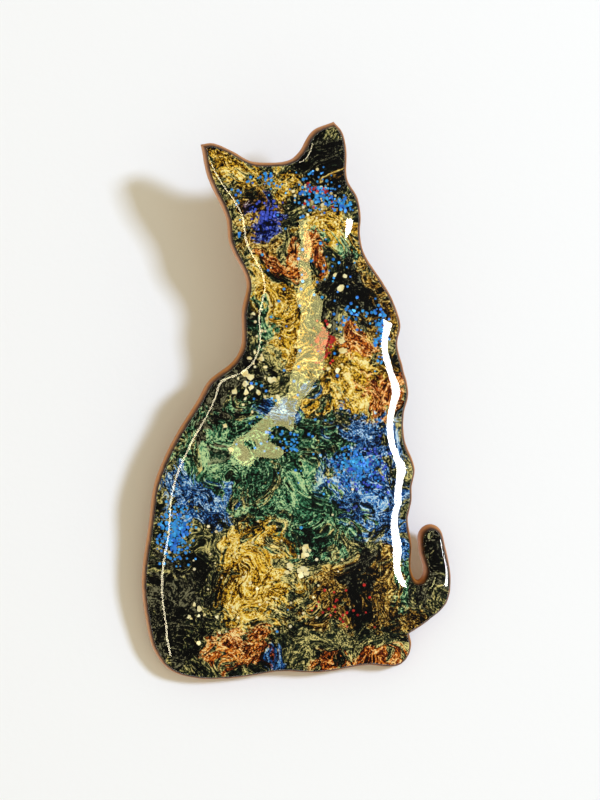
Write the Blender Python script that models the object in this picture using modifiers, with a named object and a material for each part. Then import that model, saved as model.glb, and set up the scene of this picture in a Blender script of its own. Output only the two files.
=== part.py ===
"""Resin cat brooch: a cut blank, a marbled paint skin, a clear dome and a bar pin with a turning catch.

Lengths are written in millimetres and turned to metres by MM. The cat's front faces -Y, its ears point
up +Z, and +Y points at the garment. The origin is the middle of the closed pin stem.
"""

import math

import bmesh
import bpy
import numpy as np
from mathutils import Matrix, Vector
from mathutils.geometry import interpolate_bezier

MM = 0.001
WELD = 0.000001
SMOOTH_ANGLE = math.radians(35)
CORNER_STEPS = 6
ROUND_STEPS = 28

# The cat: where its outline stands against the pin stem, and the layers from the garment side outwards.
STEM_ABOVE_BASE = 38.5
BLANK_BACK_Y = -4.0
BLANK_THICK = 2.2
ARRIS = 0.12
WALL_SLOPE = 0.5
SKIN_THICK = 0.2
SKIN_CREEP = 0.04
DOME_THICK = 1.15
LAYER_GAP = 0.03
OUTLINE_STEP = 0.95
INSET_KEPT = 0.97

# The dome's edge: how far each ring stands inside the skin's rim, and its share of the dome's height.
DOME_RINGS = ((0.0, 0.0), (0.02, 0.35), (0.16, 0.66), (0.5, 0.88), (1.0, 1.0))

# The finding, from a 20 mm bar pin.
BAR_LENGTH = 20.0
BAR_WIDTH = 4.6
BAR_THICK = 0.7
BAR_BACK_Y = -2.9
BAR_CORNER = 1.9
GLUE_HOLE_R = 0.95
GLUE_HOLE_X = 4.6
HINGE_X = -8.5
EAR_R = 1.35
EAR_INNER_Z = 0.52
EAR_THICK = 0.5
EAR_ROUNDING = 0.96
RIVET_R = 0.45
RIVET_HEAD_R = 0.85
RIVET_HEAD_THICK = 0.35
RUNNING_GAP = 0.05
PAD_LENGTH = 22.0
PAD_WIDTH = 7.4
PAD_CORNER = 3.2
PLUG_PROUD = 0.18

# The stem and its turning catch.
WIRE_R = 0.45
EYE_R = 1.12
EYE_THICK = 0.84
STEM_TIP_X = 9.5
STEM_TAPER = 4.2
TIP_R = 0.06
CATCH_X0 = 7.1
CATCH_X1 = 9.5
CATCH_X = (CATCH_X0 + CATCH_X1) / 2
HOUSING_OUTER_R = 1.75
HOUSING_INNER_R = 1.3
SLOT_WIDTH = 1.3
NECK_WIDTH = 1.6
STAKE_LENGTH = 1.2
STAKE_WIDTH = 1.1
ROLLER_OUTER_R = 1.24
ROLLER_INNER_R = 0.7
COLLAR_LENGTH = 0.85
COLLAR_R = 1.7
RIM_LENGTH = 0.25
RIM_R = 1.5
TAB_REACH = 2.7
TAB_THICK = 0.6
TAB_ANGLE = math.radians(-60)

# Cutters reach well past what they cut: their length as a multiple of it.
CUTTER_REACH = 3

# Rivet head and glue plug crown: share of the radius, and share of the height down from the top.
RIVET_HEAD = ((0.6, 0.15), (0.95, 0.6))
PLUG_CROWN = (0.6, 0.3)
# The ground point's middle: share of the wire's radius, and share of the taper from the tip.
POINT_MIDDLE = (0.6, 0.45)
# How deep the wire runs into the eye, as a share of the eye's radius.
WIRE_START = 0.8

# Finishes: colour, roughness, metallic and share of transmitted light.
BRONZE_EDGE_PAINT = ((0.34, 0.17, 0.07), 0.38, 0.35, 0.0)
MARBLED_ACRYLIC = ((0.05, 0.09, 0.08), 0.45, 0.0, 0.0)
CLEAR_EPOXY = ((0.95, 0.96, 0.93), 0.04, 0.0, 1.0)
AMBER_GLUE = ((0.55, 0.47, 0.3), 0.3, 0.0, 0.0)
NICKEL_PLATED_STEEL = ((0.66, 0.64, 0.6), 0.28, 1.0, 0.0)
STAINLESS_WIRE = ((0.72, 0.72, 0.72), 0.2, 1.0, 0.0)

# The cat's outline seen from the front, clockwise from the left ear: (right, up above the base, kind).
# It runs smoothly through every point but the sharp ones.
SMOOTH, SHARP = 0, 1
EARS = (
    (-13.7, 72.0, SHARP),
    (-12.2, 72.2, SMOOTH),
    (-9.6, 71.2, SMOOTH),
    (-7.0, 69.8, SMOOTH),
    (-5.3, 69.6, SMOOTH),
    (-1.7, 70.0, SMOOTH),
    (-0.6, 70.9, SMOOTH),
    (1.3, 73.8, SMOOTH),
    (4.2, 75.1, SHARP),
    (5.3, 73.8, SMOOTH),
    (5.9, 71.6, SMOOTH),
    (6.1, 67.3, SMOOTH),
)
RIGHT_SIDE = (
    (7.4, 65.0, SMOOTH),
    (7.9, 62.4, SMOOTH),
    (7.8, 60.0, SMOOTH),
    (8.3, 57.6, SMOOTH),
    (10.9, 53.5, SMOOTH),
    (12.2, 51.2, SMOOTH),
    (13.3, 47.6, SMOOTH),
    (12.9, 45.2, SMOOTH),
    (13.7, 41.8, SMOOTH),
    (14.4, 38.5, SMOOTH),
    (13.8, 35.6, SMOOTH),
    (13.9, 32.3, SMOOTH),
    (15.3, 28.1, SMOOTH),
    (14.9, 25.7, SMOOTH),
    (14.9, 23.9, SMOOTH),
    (14.4, 21.5, SMOOTH),
    (14.9, 17.9, SMOOTH),
)
TAIL = (
    (15.0, 13.9, SMOOTH),
    (15.7, 13.0, SMOOTH),
    (16.4, 13.8, SMOOTH),
    (15.8, 17.4, SMOOTH),
    (15.9, 19.6, SMOOTH),
    (17.2, 20.6, SMOOTH),
    (18.6, 20.1, SMOOTH),
    (19.5, 17.6, SMOOTH),
    (20.3, 12.4, SMOOTH),
    (19.7, 9.8, SMOOTH),
    (17.2, 7.4, SMOOTH),
    (14.6, 5.7, SHARP),
)
BASE = (
    (14.9, 4.2, SMOOTH),
    (14.3, 2.3, SMOOTH),
    (13.0, 1.3, SMOOTH),
    (8.7, 1.4, SMOOTH),
    (2.4, 0.5, SMOOTH),
    (-3.4, 0.7, SMOOTH),
    (-8.6, 0.0, SMOOTH),
    (-14.6, 0.0, SMOOTH),
    (-18.1, 1.2, SMOOTH),
    (-20.2, 3.9, SMOOTH),
)
LEFT_SIDE = (
    (-21.3, 8.2, SMOOTH),
    (-21.8, 13.4, SMOOTH),
    (-20.8, 21.2, SMOOTH),
    (-20.1, 26.3, SMOOTH),
    (-17.9, 31.7, SMOOTH),
    (-14.3, 37.6, SMOOTH),
    (-12.7, 40.3, SMOOTH),
    (-9.3, 43.1, SMOOTH),
    (-8.4, 44.8, SMOOTH),
    (-8.2, 49.8, SMOOTH),
    (-7.6, 53.5, SMOOTH),
    (-9.9, 58.8, SMOOTH),
    (-10.3, 62.0, SMOOTH),
    (-12.8, 67.7, SMOOTH),
)
CAT = EARS + RIGHT_SIDE + TAIL + BASE + LEFT_SIDE


def clear_scene():
    """Remove every object, so that a second run starts clean."""
    for thing in list(bpy.data.objects):
        bpy.data.objects.remove(thing, do_unlink=True)


def new_collection(name):
    """A collection linked to the scene."""
    group = bpy.data.collections.new(name)
    bpy.context.scene.collection.children.link(group)
    return group


def material(name, finish):
    """A Principled material from its colour, roughness, metallic and share of transmitted light."""
    colour, roughness, metallic, clear = finish
    made = bpy.data.materials.new(name)
    made.use_nodes = True
    shader = made.node_tree.nodes["Principled BSDF"]
    shader.inputs["Base Color"].default_value = (*colour, 1.0)
    shader.inputs["Roughness"].default_value = roughness
    shader.inputs["Metallic"].default_value = metallic
    shader.inputs["Transmission Weight"].default_value = clear
    return made


def add_object(name, mesh, group, finish=None):
    """An object in its collection, with its finish when it is a part."""
    thing = bpy.data.objects.new(name, mesh)
    group.objects.link(thing)
    if finish:
        mesh.materials.append(finish)
    return thing


def mesh_from(name, shape):
    """A mesh datablock from a bmesh, smooth on its round faces."""
    mesh = bpy.data.meshes.new(name)
    bmesh.ops.recalc_face_normals(shape, faces=shape.faces)
    shape.to_mesh(mesh)
    shape.free()
    mesh.shade_smooth()
    mesh.set_sharp_from_angle(angle=SMOOTH_ANGLE)
    return mesh


# ---- the cat -------------------------------------------------------------------------------------------


def handles(before, here, after, sharp):
    """The Bezier handles at one outline point, level with its neighbours unless the point is sharp."""
    back, ahead = before - here, after - here
    if sharp:
        return here + back / 3, here + ahead / 3
    along = (ahead.normalized() - back.normalized()).normalized()
    return here - along * back.length / 3, here + along * ahead.length / 3


def cat_loop():
    """The outline as points OUTLINE_STEP apart, in mm and anticlockwise seen from the front."""
    points = [Vector((x, z)) for x, z, _ in CAT]
    count = len(points)
    reach = [
        handles(points[i - 1], points[i], points[(i + 1) % count], CAT[i][2] == SHARP)
        for i in range(count)
    ]
    loop = []
    for i in range(count):
        end = (i + 1) % count
        steps = max(1, round((points[end] - points[i]).length / OUTLINE_STEP))
        loop += interpolate_bezier(points[i], reach[i][1], reach[end][0], points[end], steps + 1)[:-1]
    return np.array([tuple(p)[:2] for p in loop])[::-1]


def distance_to(loop, points):
    """Each point's distance to the closed loop."""
    start, run = loop, np.roll(loop, -1, axis=0) - loop
    from_start = points[:, None, :] - start[None, :, :]
    share = np.clip((from_start * run).sum(axis=2) / (run * run).sum(axis=1), 0, 1)
    return np.linalg.norm(from_start - share[:, :, None] * run, axis=2).min(axis=1)


def inset(loop, distance):
    """The loop moved inwards, point for point. Points that would cross in a tight corner close up."""
    if distance <= 0:
        return loop
    ahead = np.roll(loop, -1, axis=0) - np.roll(loop, 1, axis=0)
    inwards = np.stack((-ahead[:, 1], ahead[:, 0]), axis=1) / np.linalg.norm(ahead, axis=1)[:, None]
    moved = loop + inwards * distance
    sound = np.flatnonzero(distance_to(loop, moved) > INSET_KEPT * distance)
    index = np.arange(len(loop))[:, None]
    apart = np.abs(index - sound[None, :])
    nearest = sound[np.minimum(apart, len(loop) - apart).argmin(axis=1)]
    return moved[nearest]


def loft(name, rings, group, finish):
    """A closed body through the rings, each a loop of (right, up) in mm and its y, from back to front."""
    shape = bmesh.new()
    rows = [
        [shape.verts.new((x * MM, y * MM, (z - STEM_ABOVE_BASE) * MM)) for x, z in loop]
        for loop, y in rings
    ]
    for lower, upper in zip(rows, rows[1:]):
        for i in range(len(lower)):
            shape.faces.new((lower[i - 1], lower[i], upper[i], upper[i - 1]))
    bmesh.ops.remove_doubles(shape, verts=shape.verts, dist=WELD)
    for y in (rings[0][1], rings[-1][1]):
        rim = [e for e in shape.edges if e.is_boundary and abs(e.verts[0].co.y - y * MM) < WELD]
        bmesh.ops.triangle_fill(shape, use_beauty=True, edges=rim)
    return add_object(name, mesh_from(name, shape), group, finish)


def build_blank(loop, group, finish):
    """The backing board: its edge is sanded to slope in towards the front."""
    front_y = BLANK_BACK_Y - BLANK_THICK
    rings = (
        (inset(loop, ARRIS), BLANK_BACK_Y),
        (loop, BLANK_BACK_Y - 2 * ARRIS),
        (inset(loop, WALL_SLOPE - ARRIS), front_y + 2 * ARRIS),
        (inset(loop, WALL_SLOPE), front_y),
    )
    return loft("base_blank", rings, group, finish)


def build_skin(loop, group, finish):
    """The poured paint skin, flat on the blank's front."""
    back_y = BLANK_BACK_Y - BLANK_THICK - LAYER_GAP
    outline = inset(loop, WALL_SLOPE + SKIN_CREEP)
    return loft("paint_skin", ((outline, back_y), (outline, back_y - SKIN_THICK)), group, finish)


def build_dome(loop, group, finish):
    """The clear resin, which stands up steeply at the rim and levels off."""
    back_y = BLANK_BACK_Y - BLANK_THICK - SKIN_THICK - 2 * LAYER_GAP
    rings = [
        (inset(loop, WALL_SLOPE + SKIN_CREEP + inwards), back_y - height * DOME_THICK)
        for inwards, height in DOME_RINGS
    ]
    return loft("resin_dome", rings, group, finish)


# ---- shapes for the finding ----------------------------------------------------------------------------


def plate(name, size, centre, group, corner=0.0, finish=None, top_only=False):
    """A flat plate of (right, thick, up) mm about its centre, all or its top two corners rounded."""
    shape = bmesh.new()
    stretch = Matrix.Diagonal((*(Vector(size) * MM), 1.0))
    bmesh.ops.create_cube(shape, size=1.0, matrix=stretch)
    if corner:
        through = [e for e in shape.edges if abs(e.verts[0].co.y - e.verts[1].co.y) > WELD]
        chosen = [e for e in through if e.verts[0].co.z > 0 or not top_only]
        bmesh.ops.bevel(
            shape, geom=chosen, offset=corner * MM, segments=CORNER_STEPS, profile=0.5, affect="EDGES"
        )
    thing = add_object(name, mesh_from(name, shape), group, finish)
    thing.location = Vector(centre) * MM
    return thing


def turned(name, profile, centre, turn, group, finish=None, hollow=False):
    """A turned piece: the profile's (radius, height) points in mm run down its outer side, about Z."""
    shape = bmesh.new()
    points = [shape.verts.new((radius * MM, 0, height * MM)) for radius, height in profile]
    for upper, lower in zip(points, points[1:]):
        shape.edges.new((upper, lower))
    if hollow:
        shape.edges.new((points[-1], points[0]))
    mesh = bpy.data.meshes.new(name)
    shape.to_mesh(mesh)
    shape.free()
    thing = add_object(name, mesh, group, finish)
    spin = thing.modifiers.new("turn", "SCREW")
    spin.steps = ROUND_STEPS
    spin.render_steps = ROUND_STEPS
    spin.use_merge_vertices = True
    spin.merge_threshold = WELD
    spin.use_smooth_shade = False
    thing.location = Vector(centre) * MM
    thing.rotation_euler = turn
    return thing


def rod(name, radius, length, centre, turn, group, finish=None):
    """A plain round bar along its own Z."""
    half = length / 2
    profile = ((0, half), (radius, half), (radius, -half), (0, -half))
    return turned(name, profile, centre, turn, group, finish)


ALONG_X = (0.0, math.pi / 2, 0.0)
ALONG_Y = (-math.pi / 2, 0.0, 0.0)
UPRIGHT = (0.0, 0.0, 0.0)


def combine(target, tools, operation):
    """Boolean the tools into the target, in order, and keep them as hidden guides."""
    for tool in tools:
        step = target.modifiers.new(tool.name, "BOOLEAN")
        step.operation = operation
        step.solver = "EXACT"
        step.object = tool
        tool.hide_render = True
        tool.display_type = "WIRE"


# ---- the finding ---------------------------------------------------------------------------------------


def build_pad(group, guides, finish):
    """The glue under the bar, with a plug squeezed up through each of the bar's holes."""
    front_y = BLANK_BACK_Y + LAYER_GAP
    back_y = BAR_BACK_Y - BAR_THICK - LAYER_GAP
    size = (PAD_LENGTH, back_y - front_y, PAD_WIDTH)
    pad = plate("adhesive_pad", size, (0, (front_y + back_y) / 2, 0), group, PAD_CORNER, finish)
    radius = GLUE_HOLE_R - RUNNING_GAP
    depth = BAR_THICK + LAYER_GAP + PLUG_PROUD
    profile = (
        (0, depth),
        (radius * PLUG_CROWN[0], depth - PLUG_PROUD * PLUG_CROWN[1]),
        (radius, depth - PLUG_PROUD),
        (radius, -LAYER_GAP),
        (0, -LAYER_GAP),
    )
    plugs = [
        turned(f"glue_plug_{side}", profile, (x, back_y, 0), ALONG_Y, guides)
        for side, x in (("left", -GLUE_HOLE_X), ("right", GLUE_HOLE_X))
    ]
    combine(pad, plugs, "UNION")
    return pad


def build_bar(group, guides, finish):
    """The stamped strip, its two hinge ears folded up, pierced for the glue, the rivet and the catch."""
    centre_y = BAR_BACK_Y - BAR_THICK / 2
    size = (BAR_LENGTH, BAR_THICK, BAR_WIDTH)
    bar = plate("brooch_bar", size, (0, centre_y, 0), group, BAR_CORNER, finish)
    ears = []
    for side, sign in (("upper", 1), ("lower", -1)):
        centre = (HINGE_X, (EAR_R + centre_y) / 2, sign * (EAR_INNER_Z + EAR_THICK / 2))
        ear_size = (2 * EAR_R, EAR_THICK, EAR_R - centre_y)
        ear = plate(f"hinge_ear_{side}", ear_size, centre, guides, EAR_R * EAR_ROUNDING, top_only=True)
        ear.rotation_euler = ALONG_Y
        ears.append(ear)
    combine(bar, ears, "UNION")
    through = BAR_THICK * CUTTER_REACH
    holes = [
        rod(f"glue_hole_{side}", GLUE_HOLE_R, through, (x, centre_y, 0), ALONG_Y, guides)
        for side, x in (("left", -GLUE_HOLE_X), ("right", GLUE_HOLE_X))
    ]
    rivet_hole = rod("rivet_hole", RIVET_R + RUNNING_GAP, BAR_WIDTH, (HINGE_X, 0, 0), UPRIGHT, guides)
    stake_size = (STAKE_LENGTH + 2 * RUNNING_GAP, through, STAKE_WIDTH + 2 * RUNNING_GAP)
    stake_hole = plate("stake_hole", stake_size, (CATCH_X, centre_y, 0), guides)
    combine(bar, [*holes, rivet_hole, stake_hole], "DIFFERENCE")
    return bar


def build_rivet(group, finish):
    """The hinge rivet, a head on each side of the ears."""
    shank = EAR_INNER_Z + EAR_THICK + LAYER_GAP
    top = shank + RIVET_HEAD_THICK
    crown = [(RIVET_HEAD_R * out, top - RIVET_HEAD_THICK * down) for out, down in RIVET_HEAD]
    half = ((0, top), *crown, (RIVET_HEAD_R, shank), (RIVET_R, shank))
    profile = half + tuple((radius, -height) for radius, height in reversed(half))
    return turned("hinge_rivet", profile, (HINGE_X, 0, 0), UPRIGHT, group, finish)


def build_stem(group, guides, finish):
    """The pin stem: a wire with a flattened, pierced eye on the rivet and a ground point in the catch."""
    hinge = bpy.data.objects.new("pin_hinge_axis", None)
    guides.objects.link(hinge)
    hinge.location = (HINGE_X * MM, 0, 0)
    eye = rod("pin_stem", EYE_R, EYE_THICK, (0, 0, 0), UPRIGHT, group, finish)
    eye.parent = hinge
    tip = STEM_TIP_X - HINGE_X
    start = EYE_R * WIRE_START
    thinner, along = POINT_MIDDLE
    profile = (
        (0, tip),
        (TIP_R, tip - TIP_R),
        (WIRE_R * thinner, tip - STEM_TAPER * along),
        (WIRE_R, tip - STEM_TAPER),
        (WIRE_R, start),
        (0, start),
    )
    wire = turned("stem_wire", profile, (0, 0, 0), ALONG_X, guides)
    bore = rod("eye_bore", RIVET_R + RUNNING_GAP, BAR_WIDTH, (0, 0, 0), UPRIGHT, guides)
    wire.parent = hinge
    bore.parent = hinge
    combine(eye, [wire], "UNION")
    combine(eye, [bore], "DIFFERENCE")
    return eye


def tube_between(name, outer, inner, x0, x1, group, finish=None):
    """A tube along X from x0 to x1, about the stem's line."""
    half = (x1 - x0) / 2
    profile = ((inner, half), (outer, half), (outer, -half), (inner, -half))
    return turned(name, profile, ((x0 + x1) / 2, 0, 0), ALONG_X, group, finish, hollow=True)


def build_housing(group, guides, finish):
    """The catch's fixed ring, split on the garment side, on a neck staked through the bar."""
    housing = tube_between(
        "catch_housing", HOUSING_OUTER_R, HOUSING_INNER_R, CATCH_X0, CATCH_X1, group, finish
    )
    top = -(HOUSING_INNER_R + HOUSING_OUTER_R) / 2
    foot = BAR_BACK_Y + LAYER_GAP
    neck_size = (CATCH_X1 - CATCH_X0, top - foot, NECK_WIDTH)
    neck = plate("catch_neck", neck_size, (CATCH_X, (top + foot) / 2, 0), guides)
    end = BAR_BACK_Y - BAR_THICK
    stake_size = (STAKE_LENGTH, top - end, STAKE_WIDTH)
    stake = plate("catch_stake", stake_size, (CATCH_X, (top + end) / 2, 0), guides)
    slot_size = (2 * (CATCH_X1 - CATCH_X0), 2 * HOUSING_OUTER_R, SLOT_WIDTH)
    slot = plate("housing_slot", slot_size, (CATCH_X, HOUSING_OUTER_R, 0), guides)
    combine(housing, [neck, stake], "UNION")
    combine(housing, [slot], "DIFFERENCE")
    return housing


def build_roller(group, guides, finish):
    """The turning lock: a split sleeve in the housing, with a collar and tab before it and a rim behind."""
    collar_x0 = CATCH_X0 - RUNNING_GAP - COLLAR_LENGTH
    collar_x1 = CATCH_X0 - RUNNING_GAP
    rim_x0 = CATCH_X1 + RUNNING_GAP
    rim_x1 = rim_x0 + RIM_LENGTH
    middle = (collar_x0 + rim_x1) / 2
    outside = (
        (ROLLER_INNER_R, collar_x0),
        (COLLAR_R, collar_x0),
        (COLLAR_R, collar_x1),
        (ROLLER_OUTER_R, collar_x1),
        (ROLLER_OUTER_R, rim_x0),
        (RIM_R, rim_x0),
        (RIM_R, rim_x1),
        (ROLLER_INNER_R, rim_x1),
    )
    profile = tuple((radius, x - middle) for radius, x in reversed(outside))
    roller = turned("lock_roller", profile, (middle, 0, 0), ALONG_X, group, finish, hollow=True)
    along = (COLLAR_R + ROLLER_OUTER_R) / 2
    tab_centre = (along + TAB_REACH) / 2
    tab_size = (COLLAR_LENGTH, TAB_REACH - along, TAB_THICK)
    tab_y, tab_z = tab_centre * math.cos(TAB_ANGLE), tab_centre * math.sin(TAB_ANGLE)
    tab = plate("lock_tab", tab_size, ((collar_x0 + collar_x1) / 2, tab_y, tab_z), guides)
    tab.rotation_euler = (TAB_ANGLE, 0, 0)
    slot_size = (2 * (rim_x1 - collar_x0), 2 * COLLAR_R, SLOT_WIDTH - 2 * RUNNING_GAP)
    slot = plate("roller_slot", slot_size, (middle, COLLAR_R, 0), guides)
    combine(roller, [tab], "UNION")
    combine(roller, [slot], "DIFFERENCE")
    return roller


def main():
    """Build every sub-part."""
    clear_scene()
    parts = new_collection("cat_brooch")
    guides = new_collection("cutters_and_guides")
    guides.hide_render = True

    bronze = material("bronze_edge_paint", BRONZE_EDGE_PAINT)
    marbled = material("marbled_acrylic", MARBLED_ACRYLIC)
    resin = material("clear_epoxy", CLEAR_EPOXY)
    glue = material("amber_glue", AMBER_GLUE)
    steel = material("nickel_plated_steel", NICKEL_PLATED_STEEL)
    wire = material("stainless_wire", STAINLESS_WIRE)

    loop = cat_loop()
    build_blank(loop, parts, bronze)
    build_skin(loop, parts, marbled)
    build_dome(loop, parts, resin)
    build_pad(parts, guides, glue)
    build_bar(parts, guides, steel)
    build_rivet(parts, steel)
    build_stem(parts, guides, wire)
    build_housing(parts, guides, steel)
    build_roller(parts, guides, steel)


main()
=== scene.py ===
"""Looks of the resin cat brooch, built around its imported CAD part.

Sizes are written in millimetres, in the part's own frame, and turned to metres by MM. The cat's front faces
-Y, its ears point up +Z, and the brooch finding is on the +Y side.
"""

from __future__ import annotations

import logging
import math
import random
from dataclasses import dataclass, replace
from enum import Enum
from typing import Any, ClassVar

import bmesh
import bpy
import numpy as np
from mathutils import Euler, Matrix, Vector, noise
from mathutils.geometry import delaunay_2d_cdt, interpolate_bezier

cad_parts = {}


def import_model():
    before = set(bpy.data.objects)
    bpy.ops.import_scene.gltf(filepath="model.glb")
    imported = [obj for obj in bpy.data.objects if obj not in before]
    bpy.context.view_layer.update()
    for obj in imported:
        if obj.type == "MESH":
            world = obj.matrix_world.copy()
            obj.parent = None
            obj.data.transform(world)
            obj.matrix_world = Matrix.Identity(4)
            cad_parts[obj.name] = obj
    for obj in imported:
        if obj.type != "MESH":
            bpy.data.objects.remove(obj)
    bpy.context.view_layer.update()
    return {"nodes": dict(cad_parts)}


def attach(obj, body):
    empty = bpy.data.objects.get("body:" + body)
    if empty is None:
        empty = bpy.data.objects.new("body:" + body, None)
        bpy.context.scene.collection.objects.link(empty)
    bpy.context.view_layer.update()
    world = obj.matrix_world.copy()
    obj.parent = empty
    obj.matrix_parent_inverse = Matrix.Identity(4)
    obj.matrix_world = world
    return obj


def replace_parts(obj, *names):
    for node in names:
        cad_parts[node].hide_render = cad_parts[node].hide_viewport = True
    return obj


LOG = logging.getLogger("cat_brooch")
MM = 0.001
WELD = 1e-7  # metres between corners that are one
NEAR_RIM = 1e-3  # mm from the rim at which a point is left out
ON_RIM = 1e-4  # mm from the rim at which a point belongs to it
FLAT = 1e-9  # the least length or area that is divided by
SOLVED = 1e-14  # what is left over when a film's height is worked out
FILL_INSIDE = 1  # the triangulation keeps what is inside the loop
SHARP = 35.0  # degrees above which an edge shows as a corner

Anchor = tuple[float, float, bool]
Material = bpy.types.Material
Mesh = bmesh.types.BMesh
Socket = bpy.types.NodeSocket
Tree = bpy.types.NodeTree


def linear(colour: str) -> tuple[float, float, float, float]:
    """Turn an sRGB hex colour to linear light.

    Args:
        colour: The colour as "#rrggbb".

    Returns:
        Red, green, blue and a full alpha.
    """
    channels = [int(colour[i : i + 2], 16) / 255 for i in (1, 3, 5)]
    red, green, blue = (c / 12.92 if c <= 0.04045 else ((c + 0.055) / 1.055) ** 2.4 for c in channels)
    return red, green, blue, 1.0


def add_node(
    tree: Tree,
    kind: str,
    settings: dict[str, Any] | None = None,
    sockets: dict[str | int, Any] | None = None,
    stops: tuple[tuple[float, str], ...] = (),
) -> bpy.types.Node:
    """Add one node with its settings, its values, its links and, for a colour ramp, its colours.

    Args:
        tree: The node tree it goes in.
        kind: Blender's name of the node type.
        settings: Attributes to set on the node.
        sockets: For each input, by name or place, a value or the output socket that feeds it.
        stops: Places from 0 to 1 on a colour ramp and their colours, in order, with both ends.

    Returns:
        The new node.
    """
    node = tree.nodes.new(kind)
    for name, value in (settings or {}).items():
        setattr(node, name, value)
    for key, value in (sockets or {}).items():
        if isinstance(value, Socket):
            tree.links.new(value, node.inputs[key])
        else:
            node.inputs[key].default_value = value
    for position, _ in stops[1:-1]:
        node.color_ramp.elements.new(position)
    for i, (_, colour) in enumerate(stops):
        node.color_ramp.elements[i].color = linear(colour)
    return node


# ---- the outline ---------------------------------------------------------------------------------------


@dataclass(frozen=True)
class CatOutline:
    """The seated cat's outline, the same curve that the CAD blank is cut to.

    Each anchor is (right, up above the base, sharp), in mm and clockwise from the left ear. The curve runs
    smoothly through all but the sharp ones.
    """

    stem_above_base: float = 38.5
    inset_kept: float = 0.97  # the share of its inset that a moved point must have kept
    block: ClassVar[int] = 2000  # points measured at a time
    ears: tuple[Anchor, ...] = (
        (-13.7, 72.0, True), (-12.2, 72.2, False), (-9.6, 71.2, False), (-7.0, 69.8, False),
        (-5.3, 69.6, False), (-1.7, 70.0, False), (-0.6, 70.9, False), (1.3, 73.8, False),
        (4.2, 75.1, True), (5.3, 73.8, False), (5.9, 71.6, False), (6.1, 67.3, False),
    )  # fmt: skip
    right_side: tuple[Anchor, ...] = (
        (7.4, 65.0, False), (7.9, 62.4, False), (7.8, 60.0, False), (8.3, 57.6, False),
        (10.9, 53.5, False), (12.2, 51.2, False), (13.3, 47.6, False), (12.9, 45.2, False),
        (13.7, 41.8, False), (14.4, 38.5, False), (13.8, 35.6, False), (13.9, 32.3, False),
        (15.3, 28.1, False), (14.9, 25.7, False), (14.9, 23.9, False), (14.4, 21.5, False),
        (14.9, 17.9, False),
    )  # fmt: skip
    tail: tuple[Anchor, ...] = (
        (15.0, 13.9, False), (15.7, 13.0, False), (16.4, 13.8, False), (15.8, 17.4, False),
        (15.9, 19.6, False), (17.2, 20.6, False), (18.6, 20.1, False), (19.5, 17.6, False),
        (20.3, 12.4, False), (19.7, 9.8, False), (17.2, 7.4, False), (14.6, 5.7, True),
    )  # fmt: skip
    base: tuple[Anchor, ...] = (
        (14.9, 4.2, False), (14.3, 2.3, False), (13.0, 1.3, False), (8.7, 1.4, False),
        (2.4, 0.5, False), (-3.4, 0.7, False), (-8.6, 0.0, False), (-14.6, 0.0, False),
        (-18.1, 1.2, False), (-20.2, 3.9, False),
    )  # fmt: skip
    left_side: tuple[Anchor, ...] = (
        (-21.3, 8.2, False), (-21.8, 13.4, False), (-20.8, 21.2, False), (-20.1, 26.3, False),
        (-17.9, 31.7, False), (-14.3, 37.6, False), (-12.7, 40.3, False), (-9.3, 43.1, False),
        (-8.4, 44.8, False), (-8.2, 49.8, False), (-7.6, 53.5, False), (-9.9, 58.8, False),
        (-10.3, 62.0, False), (-12.8, 67.7, False),
    )  # fmt: skip

    @staticmethod
    def handles(before: Vector, here: Vector, after: Vector, sharp: bool) -> tuple[Vector, Vector]:
        """Place the Bezier handles of one anchor.

        Args:
            before: The anchor before it.
            here: The anchor.
            after: The anchor after it.
            sharp: True where the outline has a corner.

        Returns:
            The handle towards the anchor before and the one towards the anchor after.
        """
        back, ahead = before - here, after - here
        if sharp:
            return here + back / 3, here + ahead / 3
        along = (ahead.normalized() - back.normalized()).normalized()
        return here - along * back.length / 3, here + along * ahead.length / 3

    def loop(self, step: float) -> np.ndarray:
        """Walk the outline.

        Args:
            step: The distance between points in mm.

        Returns:
            Points (x, z) in mm in the part's frame, anticlockwise seen from the front.
        """
        anchors = self.ears + self.right_side + self.tail + self.base + self.left_side
        points = [Vector((x, z - self.stem_above_base)) for x, z, _ in anchors]
        count = len(points)
        reach = [
            self.handles(points[i - 1], points[i], points[(i + 1) % count], anchors[i][2])
            for i in range(count)
        ]
        loop = []
        for i in range(count):
            end = (i + 1) % count
            steps = max(1, round((points[end] - points[i]).length / step))
            loop += interpolate_bezier(points[i], reach[i][1], reach[end][0], points[end], steps + 1)[:-1]
        return np.array([tuple(p)[:2] for p in loop])[::-1]

    @classmethod
    def distance(cls, loop: np.ndarray, points: np.ndarray) -> np.ndarray:
        """Measure how far points are from a closed loop.

        Args:
            loop: The loop's points.
            points: The points to measure.

        Returns:
            One distance per point.
        """
        run = np.roll(loop, -1, axis=0) - loop
        nearest = []
        for block in np.array_split(points, max(1, len(points) // cls.block)):
            from_start = block[:, None, :] - loop[None, :, :]
            share = np.clip((from_start * run).sum(axis=2) / (run * run).sum(axis=1), 0, 1)
            nearest.append(np.linalg.norm(from_start - share[:, :, None] * run, axis=2).min(axis=1))
        return np.concatenate(nearest)

    @staticmethod
    def inside(loop: np.ndarray, points: np.ndarray) -> np.ndarray:
        """Tell which points are inside a closed loop.

        Args:
            loop: The loop's points.
            points: The points to test.

        Returns:
            True or False per point.
        """
        after = np.roll(loop, -1, axis=0)
        found = np.zeros(len(points), dtype=bool)
        for (x0, z0), (x1, z1) in zip(loop, after):
            if z0 == z1:
                continue
            spans = (z0 > points[:, 1]) != (z1 > points[:, 1])
            crossing = x0 + (points[:, 1] - z0) / (z1 - z0) * (x1 - x0)
            found ^= spans & (points[:, 0] < crossing)
        return found

    @staticmethod
    def distinct(loop: np.ndarray) -> np.ndarray:
        """The loop without points that repeat the one before."""
        return loop[np.linalg.norm(loop - np.roll(loop, 1, axis=0), axis=1) > NEAR_RIM]

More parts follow.
